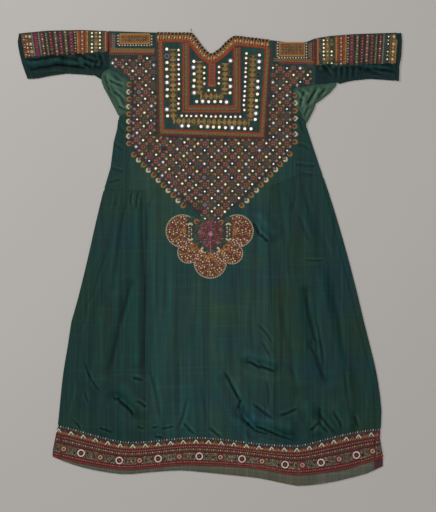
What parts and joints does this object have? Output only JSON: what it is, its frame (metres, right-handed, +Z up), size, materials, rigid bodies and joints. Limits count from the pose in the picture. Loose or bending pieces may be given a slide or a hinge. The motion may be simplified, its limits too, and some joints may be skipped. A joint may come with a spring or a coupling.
{
  "type": "dress",
  "caption": "Woman's flared satin dress with mirror embroidery, laid out flat, face up, with its short sleeves spread.",
  "frame": {"origin": "under the middle of the whole dress, on the surface that it lies on", "axes": "+X to the right sleeve as seen from above, +Y from the hem to the neck, +Z up from the surface, out of the front of the dress"},
  "size_m": [1.0176, 1.2076, 0.0136],
  "materials": {
    "satin": "silk satin, dark green, soft sheen",
    "satin_gore": "silk satin, darker green, soft sheen",
    "satin_pale": "silk satin, lighter green, soft sheen",
    "satin_sleeve": "silk satin, very dark green, soft sheen",
    "facing": "plain cloth with zigzag stitches, matt",
    "neck_work": "dense silk embroidery, ochre",
    "red_work": "dense silk embroidery, red and orange",
    "trellis_work": "silk embroidery with small mirrors",
    "hem_work": "dense silk embroidery, maroon, sage and cream",
    "mirror": "small mirrors of silvered glass",
    "thread": "silk floss"
  },
  "bodies": {
    "root": {"front_body": "satin", "back_body": "satin", "side_left": "satin_gore", "side_right": "satin_gore", "front_gore_left": "satin_gore", "back_gore_left": "satin_gore", "front_gore_right": "satin_gore", "back_gore_right": "satin_gore", "gusset_left": "satin_pale", "gusset_right": "satin_pale", "sleeve_left": "satin_sleeve", "sleeve_right": "satin_sleeve", "cuff_facing_left": "facing", "cuff_binding_right": "facing", "hem_band_front": "hem_work", "hem_band_back": "hem_work", "hem_facing": "facing", "neck_binding": "neck_work", "neck_band": "neck_work", "neck_placket": "red_work", "yoke_border_outer": "red_work", "yoke_border_inner": "red_work", "shoulder_box_left": "neck_work", "shoulder_box_right": "neck_work", "trellis_field": "trellis_work", "medallion": "neck_work", "sleeve_border_left": "red_work", "sleeve_border_right": "red_work"}
  },
  "joints": []
}
